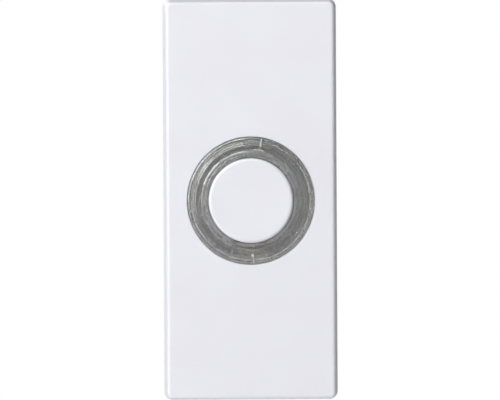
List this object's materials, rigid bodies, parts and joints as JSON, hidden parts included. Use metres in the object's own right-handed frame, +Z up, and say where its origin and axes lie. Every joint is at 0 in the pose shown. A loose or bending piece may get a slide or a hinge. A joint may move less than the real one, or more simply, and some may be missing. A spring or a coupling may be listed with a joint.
{
  "type": "doorbell push button",
  "caption": "Rectangular wall push with a clipped white cover, a clear ridged light ring and a round sprung button over a leaf contact and lamp.",
  "frame": {"origin": "centre of the back plate's rear face, where it lies on the wall", "axes": "+Y into the wall, -Y out of the button's face, +Z up along the long side, +X to the right of someone facing it"},
  "size_m": [0.0346, 0.0168, 0.08],
  "materials": {
    "inner_plastic": "plain moulded",
    "white_plastic": "smooth semi-gloss",
    "clear_plastic": "clear moulded",
    "spring_bronze": "rolled",
    "contact_metal": "plated",
    "strip_nickel": "nickel-plated",
    "screw_steel": "plated",
    "nut_brass": "machined",
    "lamp_glass": "clear",
    "lamp_metal": "plated",
    "filament_metal": "drawn"
  },
  "bodies": {
    "housing": {"back_plate": "inner_plastic", "front_cover": "white_plastic", "light_ring": "clear_plastic", "contact_leaf": "spring_bronze", "contact_strip": "strip_nickel", "strip_rivet": "contact_metal", "lamp_strip": "strip_nickel", "terminal_screws": "screw_steel", "terminal_washers": "screw_steel", "terminal_nuts": "nut_brass", "lamp_tube": "lamp_glass", "lamp_cap_left": "lamp_metal", "lamp_cap_right": "lamp_metal", "lamp_filament": "filament_metal"},
    "button": {"button_cap": "white_plastic", "leaf_rivet": "contact_metal"}
  },
  "joints": [
    {"name": "button_press", "type": "slide", "parent": "housing", "child": "button", "axis": [0, 1, 0], "range_m": [0, 0.0018], "stiffness_N_per_m": 420, "springref_m": -0.002, "deforming": ["contact_leaf"]}
  ]
}
